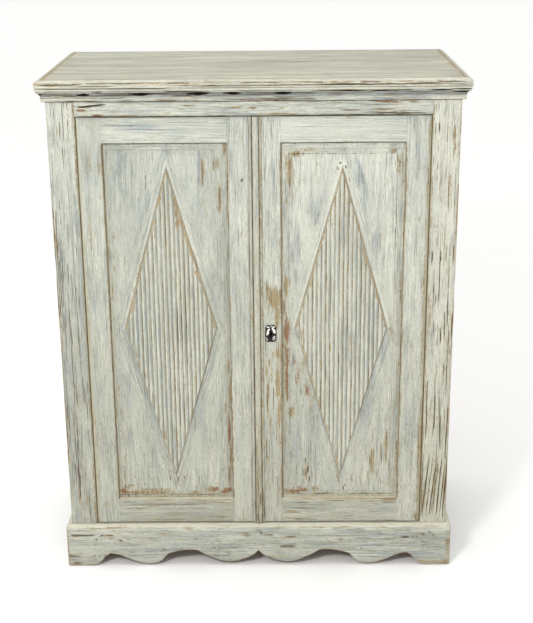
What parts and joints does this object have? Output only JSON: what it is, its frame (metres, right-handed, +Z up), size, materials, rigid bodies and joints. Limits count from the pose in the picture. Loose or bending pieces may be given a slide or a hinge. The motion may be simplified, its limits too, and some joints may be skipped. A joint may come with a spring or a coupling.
{
  "type": "floor-standing cabinet with framed doors",
  "caption": "Floor-standing cupboard with framed doors, reeded lozenges on fielded panels, moulded cornice, scalloped plinth, inner shelves, a lock and slide bolts.",
  "frame": {"origin": "on the floor, under the middle of the bounding box", "axes": "+Z up, +X to the viewer's right when facing the doors, -Y out of the doors"},
  "size_m": [0.96, 0.516, 1.2],
  "materials": {
    "painted_wood": "worn off-white and grey-blue paint brushed over pine, rubbed to bare wood at the edges",
    "bare_pine": "aged unpainted pine",
    "brass": "dull turned brass",
    "escutcheon_iron": "blackened pierced plate with bright raised scrolls",
    "bright_steel": "worn bright steel",
    "dark_iron": "dark wrought iron"
  },
  "bodies": {
    "carcass": {"back_board_1": "bare_pine", "back_board_2": "bare_pine", "back_board_3": "bare_pine", "back_board_4": "bare_pine", "back_nails": "dark_iron", "bottom_rail": "painted_wood", "cleat_screws": "dark_iron", "corner_blocks": "bare_pine", "cornice_front": "painted_wood", "cornice_left": "painted_wood", "cornice_right": "painted_wood", "door_stop_strip": "bare_pine", "floor_board": "bare_pine", "floor_cleats": "bare_pine", "frieze_rail": "painted_wood", "front_post_left": "painted_wood", "front_post_right": "painted_wood", "moulding_pins": "dark_iron", "pivot_pins": "bright_steel", "pivot_washers": "bright_steel", "plinth_front": "painted_wood", "plinth_left": "painted_wood", "plinth_right": "painted_wood", "shelf_cleats": "bare_pine", "shelf_lower": "bare_pine", "shelf_upper": "bare_pine", "side_left": "painted_wood", "side_right": "painted_wood", "top_board": "painted_wood", "top_screws": "dark_iron", "top_stretcher_front": "bare_pine", "top_stretcher_rear": "bare_pine"},
    "left_door": {"left_door_bead": "painted_wood", "left_door_bottom_rail": "painted_wood", "left_door_hinge_stile": "painted_wood", "left_door_lozenge": "painted_wood", "left_door_meeting_stile": "painted_wood", "left_door_panel": "painted_wood", "left_door_pivot_sockets": "brass", "left_door_screws": "dark_iron", "left_door_top_rail": "painted_wood", "strike_plate": "dark_iron", "upper_bolt_guide": "dark_iron", "lower_bolt_guide": "dark_iron"},
    "right_door": {"right_door_astragal": "painted_wood", "right_door_bottom_rail": "painted_wood", "right_door_hinge_stile": "painted_wood", "right_door_lozenge": "painted_wood", "right_door_meeting_stile": "painted_wood", "right_door_panel": "painted_wood", "right_door_pivot_sockets": "brass", "right_door_top_rail": "painted_wood", "escutcheon": "escutcheon_iron", "escutcheon_pins": "bright_steel", "lock_case": "dark_iron", "lock_screws": "dark_iron", "lock_spring": "brass"},
    "lock_bolt": {"lock_bolt": "dark_iron"},
    "upper_door_bolt": {"upper_bolt_rod": "dark_iron"},
    "lower_door_bolt": {"lower_bolt_rod": "dark_iron"}
  },
  "joints": [
    {"name": "left_door_hinge", "type": "hinge", "parent": "carcass", "child": "left_door", "pos_m": [-0.3855, -0.2245, 0.61], "axis": [0, 0, -1], "range_deg": [0, 92]},
    {"name": "right_door_hinge", "type": "hinge", "parent": "carcass", "child": "right_door", "pos_m": [0.3855, -0.2245, 0.61], "axis": [0, 0, 1], "range_deg": [0, 92]},
    {"name": "lock_bolt_slide", "type": "slide", "parent": "right_door", "child": "lock_bolt", "axis": [-1, 0, 0], "range_m": [0, 0.01]},
    {"name": "upper_bolt_slide", "type": "slide", "parent": "left_door", "child": "upper_door_bolt", "axis": [0, 0, 1], "range_m": [0, 0.012]},
    {"name": "lower_bolt_slide", "type": "slide", "parent": "left_door", "child": "lower_door_bolt", "axis": [0, 0, -1], "range_m": [0, 0.012]}
  ]
}
